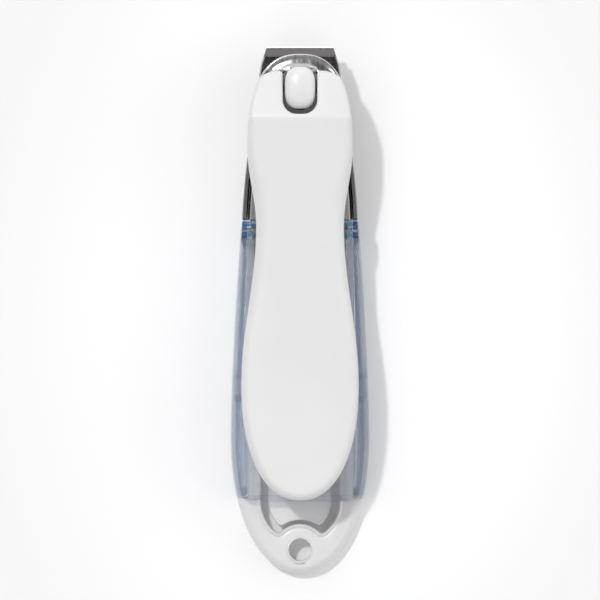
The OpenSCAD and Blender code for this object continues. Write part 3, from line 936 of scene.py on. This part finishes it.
tongue_rear = smoothed(even(pocket_curve(5.3, 5.42, BOSS_R + 0.6), 0.22), 5)
tongue_plan = [(-5.3, TONGUE_ROOT_Y)] + tongue_rear[-2:0:-1] + [(5.3, TONGUE_ROOT_Y)]
tongue = slab([(resample(tongue_plan, 0.25),
                lambda x, y: [(0.0, 0.25), (0.08, 0.08), (0.2, 0.0), (0.45, 0.0), (0.52, 0.05),
                              (0.6, 0.0), (0.8, 0.0)],
                edge(0.2, 2))],
              lambda x, y: 3.0, lambda x, y: 1.3, (), steps(-36, -26, 5))
add_mesh(tongue, rod(((-5.3, 0.75), (-5.2, 0.85), (5.2, 0.85), (5.3, 0.75)), 32, TONGUE_ROOT_Y, 2.15))
add_box(tongue, (-3, -29.4, 2.8), (3, -28.8, 4.15), 0.1)
piece("release_tongue_pad", tongue, "tongue", tray_white, ["release_tongue"])

# ---------------------------------------------------------------- floor, light and camera

floor_mesh = bpy.data.meshes.new("floor")
FLOOR_HALF = 3.0
corners = [(-1, -1), (1, -1), (1, 1), (-1, 1)]
floor_mesh.from_pydata([(x * FLOOR_HALF, y * FLOOR_HALF, 0) for x, y in corners], [], [(0, 1, 2, 3)])
floor = bpy.data.objects.new("floor", floor_mesh)
floor.location.z = -0.00002
bpy.context.scene.collection.objects.link(floor)
floor_material, floor_tree, floor_shader = new_material("floor_paper", Roughness=0.9,
                                                        Specular_IOR_Level=0.0)
# Painted light: the paper's colour is lighter in an oval round the object, to offset the shade the
# object casts on the floor round it
PAINTED_LIGHT_X, PAINTED_LIGHT_Y = 0.055, 0.075
place = floor_tree.nodes.new("ShaderNodeTexCoord")
spread = floor_tree.nodes.new("ShaderNodeMapping")
spread.inputs["Scale"].default_value = (1 / PAINTED_LIGHT_X, 1 / PAINTED_LIGHT_Y, 0)
reach = floor_tree.nodes.new("ShaderNodeVectorMath")
reach.operation = "LENGTH"
floor_tree.links.new(place.outputs["Object"], spread.inputs["Vector"])
floor_tree.links.new(spread.outputs["Vector"], reach.inputs[0])
paper = ramp(floor_tree, reach.outputs["Value"],
             [(0.25, grey(0.90)), (0.6, grey(0.83)), (1.0, grey(0.74))])
floor_tree.links.new(paper.outputs["Color"], floor_shader.inputs["Base Color"])
socket_set(floor_shader, Emission_Color=(1.0, 0.985, 1.0, 1), Emission_Strength=0.08)
floor_mesh.materials.append(floor_material)

world = bpy.data.worlds.new("studio")
bpy.context.scene.world = world
world.use_nodes = True
sky = world.node_tree
background = sky.nodes["Background"]
direction = sky.nodes.new("ShaderNodeTexCoord")
split = sky.nodes.new("ShaderNodeSeparateXYZ")
sky.links.new(direction.outputs["Generated"], split.inputs["Vector"])
dome = ramp(sky, split.outputs["Z"], [(0.0, grey(0.42)), (0.3, grey(0.80)),
                                      (0.55, (1.10, 1.10, 1.12, 1)), (0.82, (1.10, 1.10, 1.13, 1)),
                                      (0.95, grey(0.40)), (1.0, grey(0.2))])


def patch(colour, towards, inner, outer, value):
    """A soft round patch of light or dark in the studio dome, its radii in degrees."""
    dot = sky.nodes.new("ShaderNodeVectorMath")
    dot.operation = "DOT_PRODUCT"
    dot.inputs[1].default_value = Vector(towards).normalized()
    sky.links.new(direction.outputs["Generated"], dot.inputs[0])
    inside = smooth_range(sky, dot.outputs["Value"], math.cos(math.radians(outer)),
                          math.cos(math.radians(inner)))
    return blended(sky, inside, colour, value)


KEY = (-1.0, 1.12, 3.0)
studio = dome.outputs["Color"]
for towards, inner, outer, value in (((-1.0, -0.4, 0.3), 12, 42, 0.15),   # dark to the left
                                     ((0.6, -1.0, 0.3), 12, 38, 0.12),    # dark behind, to the right
                                     ((1.0, 0.15, 0.45), 8, 28, 1.7),     # light to the right
                                     ((0.0, 0.9, 0.45), 8, 30, 1.7),      # light in front
                                     ((0.08, 0.48, 0.86), 12, 25, 0.04),  # dark above the front
                                     (KEY, 7, 12, 2.2)):                  # glow round the key light
    studio = patch(studio, towards, inner, outer, grey(value))
sky.links.new(studio, background.inputs["Color"])
background.inputs["Strength"].default_value = 1.05

sun_data = bpy.data.lights.new("key", "SUN")
sun_data.energy = 1.14
sun_data.angle = math.radians(3.0)
sun = bpy.data.objects.new("key", sun_data)
bpy.context.scene.collection.objects.link(sun)
sun.rotation_euler = Vector(KEY).to_track_quat("Z", "Y").to_euler()

# A long lens, straight above the object
camera_data = bpy.data.cameras.new("camera")
camera_data.sensor_width = 36
camera_data.lens = 720
camera_data.clip_start = 0.01
camera_data.clip_end = 20
camera = bpy.data.objects.new("camera", camera_data)
bpy.context.scene.collection.objects.link(camera)
camera.location = (0.0, 0.001725, 2.010)
bpy.context.scene.camera = camera
bpy.context.scene.view_settings.view_transform = "Standard"
